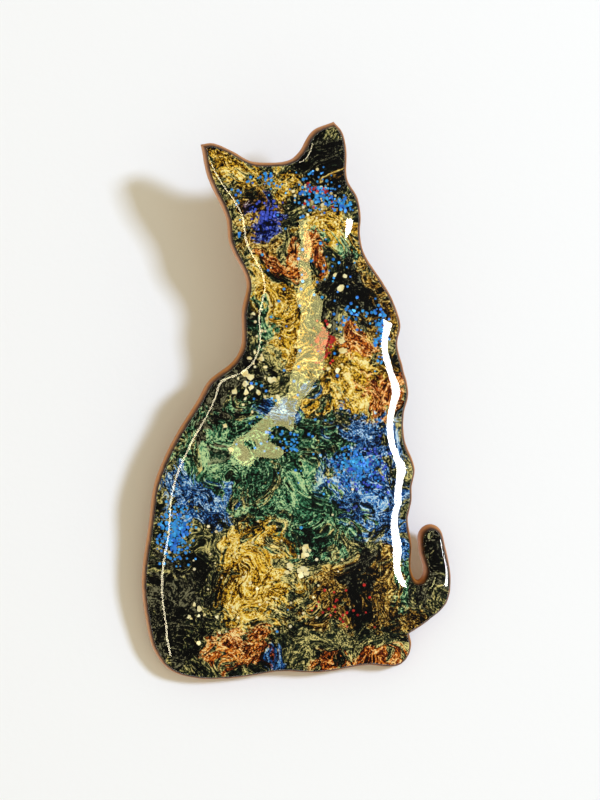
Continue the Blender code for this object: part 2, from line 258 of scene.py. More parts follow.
    def inset(self, loop: np.ndarray, distance: float) -> np.ndarray:
        """Move a loop inwards, point for point; points that would cross in a tight corner close up.

        Args:
            loop: The loop's points, anticlockwise.
            distance: How far to move in, in mm.

        Returns:
            The moved loop, with as many points.
        """
        if distance <= 0:
            return loop
        ahead = np.roll(loop, -1, axis=0) - np.roll(loop, 1, axis=0)
        inwards = np.stack((-ahead[:, 1], ahead[:, 0]), axis=1) / np.linalg.norm(ahead, axis=1)[:, None]
        moved = loop + inwards * distance
        sound = np.flatnonzero(self.distance(loop, moved) > self.inset_kept * distance)
        index = np.arange(len(loop))[:, None]
        apart = np.abs(index - sound[None, :])
        return moved[sound[np.minimum(apart, len(loop) - apart).argmin(axis=1)]]


# ---- mesh work -----------------------------------------------------------------------------------------


def add_piece(
    name: str, shape: Mesh, body: str, finish: Material, sharp: float = SHARP
) -> bpy.types.Object:
    """Turn a bmesh into a shown piece that rides on a CAD body.

    Args:
        name: The piece's name.
        shape: The mesh, which is used up.
        body: The CAD body it rides on.
        finish: Its material.
        sharp: The angle in degrees above which an edge shows as a corner.

    Returns:
        The new object.
    """
    mesh = bpy.data.meshes.new(name)
    shape.to_mesh(mesh)
    shape.free()
    mesh.shade_smooth()
    mesh.set_sharp_from_angle(angle=math.radians(sharp))
    mesh.materials.append(finish)
    piece = bpy.data.objects.new(name, mesh)
    bpy.context.scene.collection.objects.link(piece)
    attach(piece, body)
    LOG.info("built %s with %d faces", name, len(mesh.polygons))
    return piece


def loft(rings: list[tuple[np.ndarray, float]]) -> Mesh:
    """Close a body through rings from back to front.

    Args:
        rings: For each ring its (x, z) points and its y, in mm.

    Returns:
        The closed mesh in metres.
    """
    shape = bmesh.new()
    rows = [[shape.verts.new((x * MM, y * MM, z * MM)) for x, z in loop] for loop, y in rings]
    for lower, upper in zip(rows, rows[1:]):
        for i in range(len(lower)):
            shape.faces.new((lower[i - 1], lower[i], upper[i], upper[i - 1]))
    bmesh.ops.remove_doubles(shape, verts=shape.verts, dist=WELD)
    for y in (rings[0][1], rings[-1][1]):
        rim = [e for e in shape.edges if e.is_boundary and abs(e.verts[0].co.y - y * MM) < WELD]
        bmesh.ops.triangle_fill(shape, use_beauty=True, edges=rim)
    bmesh.ops.recalc_face_normals(shape, faces=shape.faces)
    return shape


def turned(profile: list[tuple[float, float]], steps: int) -> Mesh:
    """Turn a profile about the Z axis.

    Args:
        profile: (radius, height) points in mm, from the top down.
        steps: How many facets go round.

    Returns:
        The mesh in metres, with its axis on Z.
    """
    shape = bmesh.new()
    points = [shape.verts.new((radius * MM, 0, height * MM)) for radius, height in profile]
    edges = [shape.edges.new(pair) for pair in zip(points, points[1:])]
    bmesh.ops.spin(
        shape, geom=points + edges, axis=(0, 0, 1), cent=(0, 0, 0), angle=math.tau, steps=steps
    )
    bmesh.ops.remove_doubles(shape, verts=shape.verts, dist=WELD)
    bmesh.ops.recalc_face_normals(shape, faces=shape.faces)
    return shape


@dataclass
class Film:
    """A triangulated patch of the plane on which a poured liquid's height is worked out."""

    points: np.ndarray
    triangles: np.ndarray
    rim: np.ndarray
    snap: ClassVar[float] = 1e-6  # mm between points that become one
    digits: ClassVar[int] = 4

    @classmethod
    def fill(cls, loop: np.ndarray, rows: list[np.ndarray], spacing: float, clear: float) -> Film:
        """Triangulate a loop with rows of points along its rim and a honeycomb inside.

        Args:
            loop: The rim's points in mm.
            rows: Further loops of points inside it.
            spacing: The honeycomb's spacing in mm.
            clear: How far the honeycomb stays from the rim.

        Returns:
            The film.
        """
        low, high = loop.min(axis=0), loop.max(axis=0)
        row_height = spacing * math.sqrt(3) / 2
        columns = np.arange(low[0], high[0], spacing)
        comb = np.concatenate([
            np.stack((columns + (k % 2) * spacing / 2, np.full(len(columns), z)), axis=1)
            for k, z in enumerate(np.arange(low[1], high[1], row_height))
        ])  # fmt: skip
        comb = comb[CatOutline.inside(loop, comb)]
        comb = comb[CatOutline.distance(loop, comb) > clear]
        extra = np.unique(np.round(np.concatenate([*rows, comb]), cls.digits), axis=0)
        extra = extra[CatOutline.distance(loop, extra) > NEAR_RIM]
        everything = np.concatenate([loop, extra])
        coordinates = [Vector(p) for p in everything]
        inside = [list(range(len(loop)))]
        verts, _, faces, *_ = delaunay_2d_cdt(coordinates, [], inside, FILL_INSIDE, cls.snap)
        points = np.array([tuple(v) for v in verts])
        rim = CatOutline.distance(loop, points) < ON_RIM
        return cls(points, np.array(faces), rim)

    def meniscus(self, reach: float, rounds: int = 600) -> np.ndarray:
        """Work out the height of a liquid pinned at the rim, by conjugate gradients.

        The square of the reach times the surface's curvature is what it lacks of the full height.

        Args:
            reach: The distance in mm over which the liquid levels off.
            rounds: The most steps.

        Returns:
            Each point's share of the full height, 0 on the rim.
        """
        mass = np.zeros(len(self.points))
        starts, ends, pulls = [], [], []
        for corner in range(3):
            here, one, other = (self.triangles[:, (corner + k) % 3] for k in range(3))
            u, v = self.points[one] - self.points[here], self.points[other] - self.points[here]
            doubled = np.maximum(np.abs(u[:, 0] * v[:, 1] - u[:, 1] * v[:, 0]), FLAT)
            np.add.at(mass, here, doubled / 6)
            starts.append(one)
            ends.append(other)
            pulls.append((u * v).sum(axis=1) / doubled / 2 * reach**2)
        start, end, pull = (np.concatenate(x) for x in (starts, ends, pulls))
        free = (~self.rim).astype(float)

        def applied(x: np.ndarray) -> np.ndarray:
            """Work out the film's pull and weight on its free points.

            Args:
                x: The points' heights.

            Returns:
                One sum of pull and weight per point.
            """
            flow = pull * (x[start] - x[end])
            count = len(x)
            return free * (mass * x + np.bincount(start, flow, count) - np.bincount(end, flow, count))

        stiff = mass + np.bincount(start, pull, len(mass)) + np.bincount(end, pull, len(mass))
        stiff = np.maximum(stiff, mass)
        height = np.zeros(len(mass))
        left = free * mass
        guide = left / stiff
        heading = guide.copy()
        power = left @ guide
        for _ in range(rounds):
            moved = applied(heading)
            size = power / (heading @ moved)
            height += size * heading
            left -= size * moved
            guide = left / stiff
            power, before = left @ guide, power
            if power < SOLVED:
                break
            heading = guide + power / before * heading
        return height

    def shape(self, heights: np.ndarray, floor_y: float) -> Mesh:
        """Raise the film towards the front.

        Args:
            heights: Each point's height in mm.
            floor_y: The y in mm of height 0.

        Returns:
            The surface as a mesh in metres, facing -Y.
        """
        shape = bmesh.new()
        verts = [
            shape.verts.new((x * MM, (floor_y - h) * MM, z * MM)) for (x, z), h in zip(self.points, heights)
        ]
        for a, b, c in self.triangles:
            shape.faces.new((verts[a], verts[b], verts[c]))
        shape.normal_update()
        if sum(f.normal.y for f in shape.faces) > 0:
            bmesh.ops.reverse_faces(shape, faces=shape.faces)
        return shape


# ---- finishes ------------------------------------------------------------------------------------------


FOUR_NUMBERS = {"noise_dimensions": "4D"}  # a noise of the pour is set apart by a number beside its place
NOISE_MIDDLE = 0.5


@dataclass(frozen=True)
class Swirl:
    """One noise of the pour: its size in mm, its octaves, its distortion and a number that sets it apart."""

    size: float
    detail: float
    twist: float
    kind: float

    def sockets(self, place: Socket) -> dict[str | int, Any]:
        """Say what its noise node is given.

        Args:
            place: The coordinates in mm.

        Returns:
            The node's inputs.
        """
        return {
            "Vector": place,
            "W": self.kind,
            "Scale": 1 / self.size,
            "Detail": self.detail,
            "Distortion": self.twist,
        }


@dataclass(frozen=True)
class Span:
    """How a value is read: what counts as its least and its most, and what these become."""

    low: float
    high: float
    least: float = 0.0
    most: float = 1.0

    def sockets(self, value: Socket) -> dict[str | int, Any]:
        """Say what its range node is given.

        Args:
            value: The value that is read.

        Returns:
            The node's inputs.
        """
        return {
            "Value": value,
            "From Min": self.low,
            "From Max": self.high,
            "To Min": self.least,
            "To Max": self.most,
        }


@dataclass(frozen=True)
class Mottle:
    """A plain noise: how many of its shapes there are to the mm, its octaves and how rough they are."""

    per_mm: float
    detail: float
    grit: float = 0.5

    def sockets(self, place: Socket) -> dict[str | int, Any]:
        """Say what its noise node is given.

        Args:
            place: The coordinates in mm.

        Returns:
            The node's inputs.
        """
        return {"Vector": place, "Scale": self.per_mm, "Detail": self.detail, "Roughness": self.grit}


@dataclass(frozen=True)
class Relief:
    """How strongly a pattern shows as relief, and how deep it is in mm."""

    strength: float
    depth: float

    def sockets(self, height: Socket) -> dict[str | int, Any]:
        """Say what its bump node is given.

        Args:
            height: The pattern.

        Returns:
            The node's inputs.
        """
        return {"Strength": self.strength, "Distance": self.depth * MM, "Height": height}


@dataclass(frozen=True)
class Finish:
    """A finish, which is made into one material."""

    name: str

    def surface(self, tree: Tree, place: Socket) -> dict[str | int, Any]:
        """Work out the principled shader's inputs; each finish has its own.

        Args:
            tree: The material's node tree.
            place: The piece's own coordinates in mm.

        Returns:
            The inputs.
        """
        raise NotImplementedError

    def shade(self, tree: Tree) -> Socket:
        """Build the shader.

        Args:
            tree: The material's node tree.

        Returns:
            The shader's output.
        """
        sockets = self.surface(tree, self.millimetres(tree))
        return add_node(tree, "ShaderNodeBsdfPrincipled", sockets=sockets).outputs[0]

    def make(self) -> Material:
        """Make the material.

        Returns:
            The new material.
        """
        made = bpy.data.materials.new(self.name)
        made.use_nodes = True
        tree = made.node_tree
        tree.nodes.clear()
        add_node(tree, "ShaderNodeOutputMaterial", sockets={"Surface": self.shade(tree)})
        return made

    @staticmethod
    def millimetres(tree: Tree) -> Socket:
        """Tell the place on the piece.

        Args:
            tree: The material's node tree.

        Returns:
            The piece's own coordinates in mm.
        """
        place = add_node(tree, "ShaderNodeTexCoord").outputs["Object"]
        scaled = add_node(tree, "ShaderNodeVectorMath", {"operation": "SCALE"}, {0: place, "Scale": 1 / MM})
        return scaled.outputs[0]


class Palette(Enum):
    """The pigment mixes of the pour, each from its darkest to its palest streak."""

    GROUND = ("#020302", "#080c08", "#161f16", "#34422f", "#7c7442", "#e2d288")
    TEAL = ("#020403", "#07130e", "#133424", "#2e684a", "#62a67c", "#c2dca4")
    BLUE = ("#04070e", "#0c1e3e", "#174288", "#2e76ca", "#68aae2", "#d4e8f4")
    OCHRE = ("#040302", "#1e140a", "#573a14", "#a67424", "#dcac3e", "#f6e090")
    GOLD = ("#120a03", "#583608", "#b88018", "#eab62c", "#f8d65a", "#fef0b0")
    CORAL = ("#0e0402", "#461607", "#94390e", "#dc7420", "#f4ac46", "#fee2a2")
    COBALT = ("#03030a", "#05081a", "#080e3a", "#10207c", "#304cca", "#98acf2")
    BLACK = ("#010101", "#020202", "#040403", "#080907", "#1c1d16", "#7c785e")


@dataclass(frozen=True)
class Pour:
    """One puddle of a pigment mix: its middle and its half sizes in mm."""

    palette: Palette
    across: float
    up: float
    wide: float
    tall: float


POURS = (
    Pour(Palette.TEAL, -6.5, -7.0, 14.0, 10.0),
    Pour(Palette.TEAL, 13.5, -24.5, 3.0, 5.5),
    Pour(Palette.TEAL, 3.8, 18.5, 4.4, 3.0),
    Pour(Palette.TEAL, 1.0, -15.0, 10.0, 8.0),
    Pour(Palette.TEAL, -4.0, 10.0, 4.0, 4.0),
    Pour(Palette.BLUE, 8.5, -9.0, 7.0, 12.0),
    Pour(Palette.BLUE, -14.5, -13.5, 6.5, 5.5),
    Pour(Palette.BLUE, -2.5, -1.5, 4.0, 3.4),
    Pour(Palette.BLUE, 12.5, -19.5, 3.0, 6.0),
    Pour(Palette.BLUE, -4.5, -37.4, 2.6, 2.0),
    Pour(Palette.OCHRE, -6.5, 24.0, 4.4, 7.0),
    Pour(Palette.OCHRE, 4.2, 28.6, 3.4, 3.6),
    Pour(Palette.OCHRE, 10.0, 14.0, 4.4, 6.2),
    Pour(Palette.OCHRE, 3.0, -27.0, 5.0, 5.5),
    Pour(Palette.OCHRE, 10.0, -27.5, 4.0, 6.0),
    Pour(Palette.OCHRE, 15.5, -31.0, 5.0, 3.6),
    Pour(Palette.GOLD, -10.4, 30.8, 4.4, 4.4),
    Pour(Palette.GOLD, -2.4, 30.0, 4.6, 3.0),
    Pour(Palette.GOLD, 4.0, 20.6, 5.6, 4.0),
    Pour(Palette.GOLD, -3.5, 14.0, 6.4, 4.6),
    Pour(Palette.GOLD, 6.0, 3.0, 9.4, 7.0),
    Pour(Palette.GOLD, -7.0, -25.0, 6.6, 10.0),
    Pour(Palette.GOLD, 0.0, 7.0, 3.6, 6.2),
    Pour(Palette.CORAL, -2.6, 18.4, 3.0, 1.8),
    Pour(Palette.CORAL, 1.6, 17.6, 1.8, 3.0),
    Pour(Palette.CORAL, 10.5, 0.5, 5.0, 5.0),
    Pour(Palette.CORAL, 7.0, 7.5, 4.0, 2.6),
    Pour(Palette.CORAL, -9.0, -35.0, 5.6, 3.6),
    Pour(Palette.CORAL, 9.5, -37.0, 8.6, 2.8),
    Pour(Palette.COBALT, -5.2, 24.0, 3.8, 3.6),
    Pour(Palette.BLACK, 2.8, 34.0, 4.2, 4.8),
    Pour(Palette.BLACK, 6.0, 13.4, 5.4, 4.6),
    Pour(Palette.BLACK, -18.5, -29.5, 8.0, 11.0),
    Pour(Palette.BLACK, -11.0, 3.0, 6.4, 13.0),
    Pour(Palette.BLACK, 18.4, -23.0, 4.0, 8.0),
    Pour(Palette.BLACK, 2.6, 27.4, 4.4, 3.0),
    Pour(Palette.BLACK, 6.5, -25.0, 3.6, 6.4),
)


@dataclass(frozen=True)
class MarbledAcrylic(Finish):
    """Poured acrylic: pigments that flowed into each other while wet, full of mica whose glints are painted.

    The eye sees puddles of colour drawn out into fine folded streaks, over a granular shimmer whose glints
    are painted, as paler and darker grains. The resin wets the paint, so that it has next to no gloss of its
    own.
    """

    name: str = "marbled_acrylic"
    folds: tuple[tuple[float, float], ...] = ((9.0, 13.0), (3.2, 5.0), (1.1, 0.9))  # mm apart, mm pushed
    fold_detail: float = 2.0
    fold_twist: float = 0.3
    streaks: Swirl = Swirl(0.75, 8.0, 1.1, 3.0)
    streak_span: Span = Span(0.37, 0.63)
    shades: Swirl = Swirl(4.5, 3.0, 0.8, 12.0)  # paler and darker stretches of the streaks
    shade_span: Span = Span(0.3, 0.7, -0.32, 0.32)
    veins: Swirl = Swirl(2.6, 4.0, 2.6, 8.0)  # thin bright lines
    vein_span: Span = Span(0.0, 0.035, 0.45, 0.0)
    mica: float = 0.18  # mm across a painted glint, one mica grain painted paler or darker; real mica is about 0.05 mm, too fine to show
    load: Swirl = Swirl(4.0, 3.0, 0.5, 5.0)  # where the paint holds more or less mica, and so more or fewer painted glints
    load_span: Span = Span(0.35, 0.65, 0.34, 0.7)
    tone_span: Span = Span(0.26, 1.0)
    frayed: Swirl = Swirl(2.2, 8.0, 1.4, 20.0)  # the drawn-out edges of the puddles
    frayed_apart: float = 3.0  # between the kinds of two mixes
    fraying: float = 3.2
    frayed_span: Span = Span(1.82, 1.98)
    near_span: Span = Span(0.0, 0.16)  # a mix stays near its puddles
    any_depth: float = 1e3  # mm; a puddle reaches through the skin
    roughness: float = 0.5
    ior: float = 1.49
    gloss: float = 0.04
    relief: Relief = Relief(0.25, 0.03)

    def folded(self, tree: Tree, place: Socket) -> Socket:
        """Push the coordinates about as the wet paint flowed.

        Args:
            tree: The node tree.
            place: Coordinates in mm.

        Returns:
            The folded coordinates.
        """
        for size, push in self.folds:
            swirl = Swirl(size, self.fold_detail, self.fold_twist, size)
            drift = add_node(tree, "ShaderNodeTexNoise", FOUR_NUMBERS, swirl.sockets(place))
            centred = add_node(
                tree,
                "ShaderNodeVectorMath",
                {"operation": "SUBTRACT"},
                {0: drift.outputs["Color"], 1: (NOISE_MIDDLE,) * 3},
            ).outputs[0]
            place = add_node(
                tree,
                "ShaderNodeVectorMath",
                {"operation": "MULTIPLY_ADD"},
                {0: centred, 1: (push,) * 3, 2: place},
            ).outputs[0]
        return place

    def tone(self, tree: Tree, place: Socket, folded: Socket) -> Socket:
        """How pale the streaks and the painted glints of the mica are, from 0 to 1.

        Args:
            tree: The node tree.
            place: Coordinates in mm.
            folded: The folded coordinates.

        Returns:
            The tone.
        """
        streaks, shades, veins, load = (
            add_node(tree, "ShaderNodeTexNoise", FOUR_NUMBERS, swirl.sockets(folded)).outputs["Fac"]
            for swirl in (self.streaks, self.shades, self.veins, self.load)
        )
        spans = (self.streak_span, self.shade_span, self.load_span)
        streaked, shade, laden = (
            add_node(tree, "ShaderNodeMapRange", sockets=span.sockets(value)).outputs[0]
            for span, value in zip(spans, (streaks, shades, load))
        )
        off_middle = add_node(
            tree, "ShaderNodeMath", {"operation": "SUBTRACT"}, {0: veins, 1: NOISE_MIDDLE}
        ).outputs[0]
        ridge = add_node(tree, "ShaderNodeMath", {"operation": "ABSOLUTE"}, {0: off_middle}).outputs[0]
        vein = add_node(
            tree,
            "ShaderNodeMapRange",
            {"interpolation_type": "SMOOTHSTEP"},
            self.vein_span.sockets(ridge),
        ).outputs[0]
        # Painted glint: each mica grain gets a random paleness that stands in for the light it catches.
        painted_glint_cells = add_node(
            tree, "ShaderNodeTexVoronoi", {"feature": "F1"}, {"Vector": place, "Scale": 1 / self.mica}
        ).outputs["Color"]
        painted_glint = add_node(tree, "ShaderNodeSeparateColor", sockets={0: painted_glint_cells}).outputs[0]
        total = add_node(
            tree, "ShaderNodeMix", {"data_type": "FLOAT"}, {"Factor": laden, "A": streaked, "B": painted_glint}
        ).outputs[0]
        for more in (vein, shade):
            total = add_node(tree, "ShaderNodeMath", {"operation": "ADD"}, {0: total, 1: more}).outputs[0]
        return add_node(tree, "ShaderNodeMapRange", sockets=self.tone_span.sockets(total)).outputs[0]

    def spread(self, tree: Tree, palette: Palette, folded: Socket) -> Socket:
        """How much a pigment mix covers, from all its puddles, their edges drawn out in streaks.

        Args:
            tree: The node tree.
            palette: The mix.
            folded: The folded coordinates.

        Returns:
            The cover from 0 to 1.
        """
        kind = self.frayed.kind + self.frayed_apart * list(Palette).index(palette)
        swirl = replace(self.frayed, kind=kind)
        edges = add_node(tree, "ShaderNodeTexNoise", FOUR_NUMBERS, swirl.sockets(folded))
        puddles = None
        for pour in (p for p in POURS if p.palette is palette):
            placed = add_node(
                tree,
                "ShaderNodeMapping",
                {"vector_type": "TEXTURE"},
                {
                    "Vector": folded,
                    "Location": (pour.across, 0.0, pour.up),
                    "Scale": (pour.wide, self.any_depth, pour.tall),
                },
            ).outputs[0]
            puddle = add_node(
                tree, "ShaderNodeTexGradient", {"gradient_type": "SPHERICAL"}, {"Vector": placed}
            ).outputs["Fac"]
            if puddles is None:
                puddles = puddle
            else:
                puddles = add_node(
                    tree, "ShaderNodeMath", {"operation": "MAXIMUM"}, {0: puddles, 1: puddle}
                ).outputs[0]
        drawn = add_node(
            tree,
            "ShaderNodeMath",
            {"operation": "MULTIPLY_ADD"},
            {0: edges.outputs["Fac"], 1: self.fraying, 2: puddles},
        ).outputs[0]
        near = add_node(tree, "ShaderNodeMapRange", sockets=self.near_span.sockets(puddles)).outputs[0]
        return add_node(
            tree,
            "ShaderNodeMapRange",
            {"interpolation_type": "SMOOTHSTEP"},
            {**self.frayed_span.sockets(drawn), "To Max": near},
        ).outputs[0]

    @staticmethod
    def streaked(tree: Tree, palette: Palette, tone: Socket) -> Socket:
        """Colour a pigment mix by its tone.

        Args:
            tree: The node tree.
            palette: The mix.
            tone: Its tone from 0 to 1.

        Returns:
            The colour.
        """
        last = len(palette.value) - 1
        stops = tuple((i / last, colour) for i, colour in enumerate(palette.value))
        return add_node(tree, "ShaderNodeValToRGB", sockets={"Fac": tone}, stops=stops).outputs["Color"]

    def surface(self, tree: Tree, place: Socket) -> dict[str | int, Any]:
        """Work out the shader's inputs.

        Args:
            tree: The material's node tree.
            place: The piece's own coordinates in mm.

        Returns:
            The inputs.
        """
        folded = self.folded(tree, place)
        tone = self.tone(tree, place, folded)
        ground, *pigments = Palette
        colour = self.streaked(tree, ground, tone)
        for palette in pigments:
            cover = self.spread(tree, palette, folded)
            colour = add_node(
                tree,
                "ShaderNodeMix",
                {"data_type": "RGBA"},
                {0: cover, 6: colour, 7: self.streaked(tree, palette, tone)},
            ).outputs[2]
        return {
            "Base Color": colour,
            "Roughness": self.roughness,
            "IOR": self.ior,
            "Specular IOR Level": self.gloss,
            "Normal": add_node(tree, "ShaderNodeBump", sockets=self.relief.sockets(tone)).outputs[0],
        }


@dataclass(frozen=True)
class ClearEpoxy(Finish):
    """Doming epoxy, poured and cured: a water-clear, glassy skin that only shows by what it mirrors.

    Light that comes back out of the resin meets the thinner air, so that the index is turned over there.
    """

    name: str = "clear_epoxy"
    ior: float = 1.55
    tint: str = "#fdfdf6"
    roughness: float = 0.015

    def shade(self, tree: Tree) -> Socket:
        """Build the shader.

        Args:
            tree: The material's node tree.

        Returns:
            The shader's output.
        """
        leaving = add_node(tree, "ShaderNodeNewGeometry").outputs["Backfacing"]
        turned_over = Span(0.0, 1.0, self.ior, 1 / self.ior)
        ior = add_node(tree, "ShaderNodeMapRange", sockets=turned_over.sockets(leaving)).outputs[0]
        mirror = add_node(tree, "ShaderNodeFresnel", sockets={"IOR": ior}).outputs[0]
        clear = add_node(tree, "ShaderNodeBsdfTransparent", sockets={"Color": linear(self.tint)}).outputs[0]
        gloss = add_node(
            tree, "ShaderNodeBsdfAnisotropic", sockets={"Roughness": self.roughness}
        ).outputs[0]
        return add_node(tree, "ShaderNodeMixShader", sockets={0: mirror, 1: clear, 2: gloss}).outputs[0]


@dataclass(frozen=True)
class SealedBoard(Finish):
    """Hand-sawn board, sanded and brushed with bronze acrylic, then sealed.

    The edge shows a pale sanded arris at the back, a bronze-brown middle and a dark line of paint at the
    front; the back shows the brushed sealer over the board.
    """

    name: str = "sealed_board"
    back_y: float = -4.0
    front_y: float = -6.2
    wander: float = 0.9  # mm that the layers wander through the board's thickness
    layers: tuple[tuple[float, str], ...] = (
        (0.0, "#2e1a0c"), (0.14, "#7c4c1e"), (0.38, "#c07a2a"), (0.8, "#b4762e"), (1.0, "#7c5432"),
    )  # fmt: skip
    blotches: Mottle = Mottle(0.8, 5.0, 0.6)
    brush_marks: Mottle = Mottle(2.0, 4.0, 0.6)
    stroke: tuple[float, float, float] = (0.12, 1.0, 1.0)  # the brush was drawn along X
    mark_span: Span = Span(0.0, 1.0, 0.7, 1.3)
    roughness: float = 0.55
    metallic: float = 0.15
    gloss: float = 0.3
    relief: Relief = Relief(0.5, 0.05)

    def surface(self, tree: Tree, place: Socket) -> dict[str | int, Any]:
        """Work out the shader's inputs.

        Args:
            tree: The material's node tree.
            place: The piece's own coordinates in mm.

        Returns:
            The inputs.
        """
        depth = add_node(tree, "ShaderNodeSeparateXYZ", sockets={0: place}).outputs["Y"]
        drawn = add_node(
            tree, "ShaderNodeVectorMath", {"operation": "MULTIPLY"}, {0: place, 1: self.stroke}
        ).outputs[0]
        blotch = add_node(tree, "ShaderNodeTexNoise", sockets=self.blotches.sockets(place)).outputs["Fac"]
        marks = add_node(tree, "ShaderNodeTexNoise", sockets=self.brush_marks.sockets(drawn)).outputs["Fac"]
        wandering = add_node(
            tree, "ShaderNodeMath", {"operation": "MULTIPLY_ADD"}, {0: blotch, 1: self.wander, 2: depth}
        ).outputs[0]
        thickness = Span(self.front_y + self.wander / 2, self.back_y + self.wander / 2)
        through = add_node(tree, "ShaderNodeMapRange", sockets=thickness.sockets(wandering)).outputs[0]
        layer = add_node(
            tree, "ShaderNodeValToRGB", sockets={"Fac": through}, stops=self.layers
        ).outputs["Color"]
        level = add_node(tree, "ShaderNodeMapRange", sockets=self.mark_span.sockets(marks)).outputs[0]
        shaded = add_node(
            tree, "ShaderNodeHueSaturation", sockets={"Value": level, "Color": layer}
        ).outputs[0]
        return {
            "Base Color": shaded,
            "Roughness": self.roughness,
            "Metallic": self.metallic,
            "Specular IOR Level": self.gloss,
            "Normal": add_node(tree, "ShaderNodeBump", sockets=self.relief.sockets(marks)).outputs[0],
        }


@dataclass(frozen=True)
class CuredGlue(Finish):
    """Two-part epoxy glue, cured a little cloudy and amber, with a wet-looking skin."""

    name: str = "cured_glue"
    amber: str = "#9c7a45"
    cloudy: str = "#d8c394"
    clouds: Mottle = Mottle(0.9, 4.0)
    roughness: float = 0.16
    ior: float = 1.55
    milkiness: float = 0.25
    milk_depth: float = 0.6  # mm
    relief: Relief = Relief(0.3, 0.1)

    def surface(self, tree: Tree, place: Socket) -> dict[str | int, Any]:
        """Work out the shader's inputs.

        Args:
            tree: The material's node tree.
            place: The piece's own coordinates in mm.

        Returns:
            The inputs.
        """
        cloud = add_node(tree, "ShaderNodeTexNoise", sockets=self.clouds.sockets(place)).outputs["Fac"]
        colour = add_node(
            tree,
            "ShaderNodeMix",
            {"data_type": "RGBA"},
            {0: cloud, 6: linear(self.amber), 7: linear(self.cloudy)},
        ).outputs[2]
        return {
            "Base Color": colour,
            "Roughness": self.roughness,
            "IOR": self.ior,
            "Subsurface Weight": self.milkiness,
            "Subsurface Scale": self.milk_depth * MM,
            "Normal": add_node(tree, "ShaderNodeBump", sockets=self.relief.sockets(cloud)).outputs[0],
        }


@dataclass(frozen=True)
class Metal(Finish):
    """A metal whose brushing or drawing left fine lines along one direction.

    The eye sees a soft streaked gloss with a faint haze. Real lines are some 20 to the mm, too fine to show.
    """

    name: str
    bright: str
    dull: str
    roughness: float
    grain: tuple[float, float, float]  # lines per mm along x, y and z
    lines: Mottle = Mottle(1.0, 4.0)
    hazes: Mottle = Mottle(0.7, 5.0)
    smoothest: float = 0.6  # of the roughness, between the lines
    roughest: float = 1.5  # of the roughness, in them
    relief: Relief = Relief(0.35, 0.01)

    def surface(self, tree: Tree, place: Socket) -> dict[str | int, Any]:
        """Work out the shader's inputs.

        Args:
            tree: The material's node tree.
            place: The piece's own coordinates in mm.

        Returns:
            The inputs.
        """
        stretched = add_node(
            tree, "ShaderNodeVectorMath", {"operation": "MULTIPLY"}, {0: place, 1: self.grain}
        ).outputs[0]
        lines = add_node(tree, "ShaderNodeTexNoise", sockets=self.lines.sockets(stretched)).outputs["Fac"]
        haze = add_node(tree, "ShaderNodeTexNoise", sockets=self.hazes.sockets(place)).outputs["Fac"]
        colour = add_node(
            tree,
            "ShaderNodeMix",
            {"data_type": "RGBA"},
            {0: haze, 6: linear(self.bright), 7: linear(self.dull)},
        ).outputs[2]
        span = Span(0.0, 1.0, self.roughness * self.smoothest, self.roughness * self.roughest)
        rough = add_node(tree, "ShaderNodeMapRange", sockets=span.sockets(lines)).outputs[0]
        relief = add_node(tree, "ShaderNodeBump", sockets=self.relief.sockets(lines)).outputs[0]
        return {"Base Color": colour, "Metallic": 1.0, "Roughness": rough, "Normal": relief}


@dataclass(frozen=True)
class Foil(Finish):
    """Coloured polyester foil or thin metal leaf: bright flecks, with painted highlights.

    Some flecks are painted paler, as if they caught the light, and the rest deeper.
    """

    name: str
    # pale is the painted highlight of a fleck taken to catch the light; deep is the foil's colour elsewhere.
    pale: str
    deep: str
    metallic: float = 0.25
    roughness: float = 0.38
    painted_highlight: Mottle = Mottle(1.7, 2.0)
    painted_highlight_span: Span = Span(0.35, 0.65)

    def surface(self, tree: Tree, place: Socket) -> dict[str | int, Any]:
        """Work out the shader's inputs.

        Args:
            tree: The material's node tree.
            place: The piece's own coordinates in mm.

        Returns:
            The inputs.
        """
        # Painted highlight: the noise picks the flecks that are painted pale, as if they caught the light.
        each = add_node(tree, "ShaderNodeTexNoise", sockets=self.painted_highlight.sockets(place)).outputs["Fac"]
        share = add_node(tree, "ShaderNodeMapRange", sockets=self.painted_highlight_span.sockets(each)).outputs[0]
        colour = add_node(
            tree,
            "ShaderNodeMix",
            {"data_type": "RGBA"},
            {0: share, 6: linear(self.deep), 7: linear(self.pale)},
        ).outputs[2]
        return {"Base Color": colour, "Metallic": self.metallic, "Roughness": self.roughness}


@dataclass(frozen=True)
class PaperStock(Finish):
    """Smooth white card. Seen from behind it is left out, so that the finding shows."""

    name: str = "white_card"
    colour: str = "#f4f4f2"
    roughness: float = 0.85
    fibres: Mottle = Mottle(1.2, 6.0)
    relief: Relief = Relief(0.25, 0.08)

    def surface(self, tree: Tree, place: Socket) -> dict[str | int, Any]:
        """Work out the shader's inputs.

        Args:
            tree: The material's node tree.
            place: The piece's own coordinates in mm.

        Returns:
            The inputs.
        """
        tooth = add_node(tree, "ShaderNodeTexNoise", sockets=self.fibres.sockets(place)).outputs["Fac"]
        relief = add_node(tree, "ShaderNodeBump", sockets=self.relief.sockets(tooth)).outputs[0]
        return {"Base Color": linear(self.colour), "Roughness": self.roughness, "Normal": relief}

    def shade(self, tree: Tree) -> Socket:
        """Build the shader.

        Args:
            tree: The material's node tree.

        Returns:
            The shader's output.
        """
        card = super().shade(tree)
        gone = add_node(tree, "ShaderNodeBsdfTransparent").outputs[0]
        behind = add_node(tree, "ShaderNodeNewGeometry").outputs["Backfacing"]
        shadow = add_node(tree, "ShaderNodeLightPath").outputs["Is Shadow Ray"]
        open_side = add_node(
            tree, "ShaderNodeMath", {"operation": "MAXIMUM"}, {0: behind, 1: shadow}
        ).outputs[0]
        return add_node(tree, "ShaderNodeMixShader", sockets={0: open_side, 1: card, 2: gone}).outputs[0]


# ---- the cat -------------------------------------------------------------------------------------------


